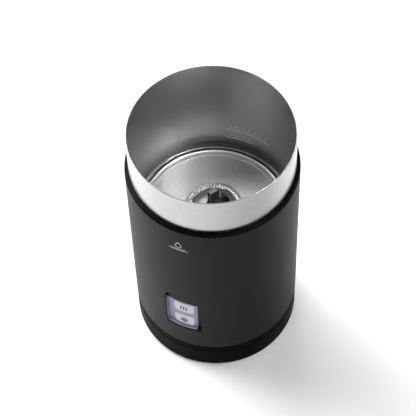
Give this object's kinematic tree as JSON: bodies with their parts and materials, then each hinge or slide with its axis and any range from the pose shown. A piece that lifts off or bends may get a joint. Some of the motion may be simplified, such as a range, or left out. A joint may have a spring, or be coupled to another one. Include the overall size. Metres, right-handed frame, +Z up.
{
  "type": "milk frother",
  "caption": "Cordless electric milk frother: open steel cup in a soft-touch sleeve with two push buttons, a lift-out magnetic coil whisk and a round power base.",
  "frame": {"origin": "centre of the round footprint, on the plane the rubber feet stand on", "axes": "+Z up along the cup's axis, -Y towards the button panel, +X to the right seen from the front"},
  "size_m": [0.1108, 0.1108, 0.196],
  "materials": {
    "soft_touch_plastic": "soft-touch rubberised coat, matt",
    "base_plastic": "fine-textured black moulding",
    "trim_plastic": "polished black moulding",
    "panel_plastic": "fine metallic lavender-grey paint",
    "button_plastic": "satin pale grey moulding",
    "cup_steel": "brushed stainless steel, bead-blasted floor",
    "pin_steel": "polished steel",
    "spring_steel": "bright drawn stainless wire",
    "whisk_plastic": "black heat-proof plastic",
    "foot_rubber": "matt rubber",
    "silicone": "translucent silicone",
    "inner_plastic": "glass-filled black nylon",
    "connector_plastic": "heat-proof black plastic",
    "contact_brass": "plain brass strip",
    "aluminium": "die-cast, plain",
    "heater_steel": "dull heater sheath",
    "screw_steel": "zinc-plated steel",
    "motor_steel": "drawn and plated steel",
    "magnet_ferrite": "sintered ferrite",
    "magnet_nickel": "nickel plate",
    "copper_winding": "enamelled copper wire on a laminated core",
    "board_laminate": "green glass-fibre laminate",
    "component_plastic": "moulded component case",
    "lead_silicone": "silicone insulated lead"
  },
  "bodies": {
    "power_base": {"base_lower_shell": "base_plastic", "base_top_cover": "base_plastic", "base_feet": "foot_rubber", "base_screws": "screw_steel", "base_connector": "connector_plastic", "base_ring_contact": "contact_brass", "base_centre_contact": "contact_brass", "cord_inlet_gland": "connector_plastic", "cord_clamp": "inner_plastic", "cord_clamp_screws": "screw_steel"},
    "jug": {"outer_sleeve": "soft_touch_plastic", "top_trim_ring": "trim_plastic", "steel_cup": "cup_steel", "cup_seal": "silicone", "drive_pin": "pin_steel", "heat_spreader": "aluminium", "heating_element": "heater_steel", "heater_terminals": "heater_steel", "temperature_sensor": "pin_steel", "thermal_cutout": "component_plastic", "heater_screws": "screw_steel", "motor_bracket": "inner_plastic", "motor_can": "motor_steel", "motor_end_cap": "inner_plastic", "motor_field_magnets": "magnet_ferrite", "motor_screws": "screw_steel", "bottom_cover": "base_plastic", "case_screws": "screw_steel", "jug_socket": "connector_plastic", "socket_ring_contact": "contact_brass", "socket_centre_contact": "contact_brass", "socket_screws": "screw_steel", "power_board": "board_laminate", "board_relay": "component_plastic", "board_transformer": "copper_winding", "board_capacitor": "component_plastic", "board_screws": "screw_steel", "heater_leads": "lead_silicone", "sensor_leads": "lead_silicone", "cutout_leads": "lead_silicone", "motor_leads": "lead_silicone", "socket_leads": "lead_silicone", "switch_leads": "lead_silicone", "button_panel": "panel_plastic", "button_board": "board_laminate", "button_board_screws": "screw_steel", "hot_switch": "component_plastic", "cold_switch": "component_plastic"},
    "drive_rotor": {"motor_shaft": "pin_steel", "motor_armature": "copper_winding", "magnet_carrier": "inner_plastic", "drive_magnets": "magnet_nickel"},
    "whisk": {"whisk_frame": "whisk_plastic", "whisk_coil": "spring_steel", "whisk_magnets": "magnet_nickel"},
    "hot_button": {"hot_button_cap": "button_plastic"},
    "cold_button": {"cold_button_cap": "button_plastic"}
  },
  "joints": [
    {"name": "jug_lift", "type": "slide", "parent": "power_base", "child": "jug", "axis": [0, 0, 1], "range_m": [0, 0.06]},
    {"name": "rotor_spin", "type": "hinge", "parent": "jug", "child": "drive_rotor", "pos_m": [0, 0, 0.1], "axis": [0, 0, 1], "continuous": true},
    {"name": "whisk_lift", "type": "slide", "parent": "drive_rotor", "child": "whisk", "axis": [0, 0, 1], "range_m": [0, 0.11]},
    {"name": "hot_button_press", "type": "slide", "parent": "jug", "child": "hot_button", "axis": [0, 1, 0], "range_m": [0, 0.0008], "stiffness_N_per_m": 300},
    {"name": "cold_button_press", "type": "slide", "parent": "jug", "child": "cold_button", "axis": [0, 1, 0], "range_m": [0, 0.0008], "stiffness_N_per_m": 300}
  ]
}
